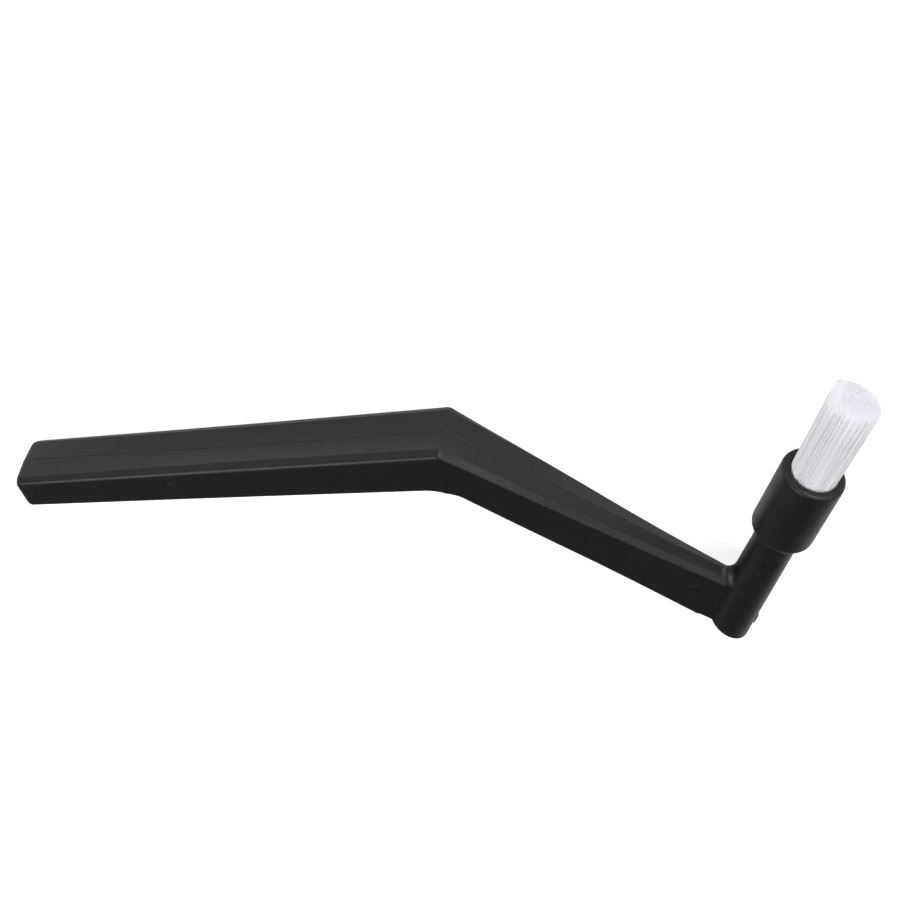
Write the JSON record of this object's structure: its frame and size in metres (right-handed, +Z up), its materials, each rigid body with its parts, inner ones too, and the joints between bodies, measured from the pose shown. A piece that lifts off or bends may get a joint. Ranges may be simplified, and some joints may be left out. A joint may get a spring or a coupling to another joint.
{
  "type": "coffee machine brush",
  "caption": "Coffee machine cleaning brush with a bent, tapered plastic handle, an angled post and a round nylon bristle head pushed onto it.",
  "frame": {"origin": "centre of the underside of the bounding box, with the brush lying on its side", "axes": "+X along the grip, from the bend to its free end; -Y is the spine side of the grip, where the post's bristles point; +Z up, square to the plane of the bend"},
  "size_m": [0.2114, 0.0816, 0.0168],
  "materials": {
    "black_plastic": "fine satin, moulded",
    "white_nylon": "white nylon filament"
  },
  "bodies": {
    "handle": {"handle": "black_plastic"},
    "head": {"brush_cup": "black_plastic", "bristle_bundle": "white_nylon"}
  },
  "joints": [
    {"name": "head_slide", "type": "slide", "parent": "handle", "child": "head", "axis": [-0.4648, -0.8854, 0], "range_m": [0, 0.01]}
  ]
}
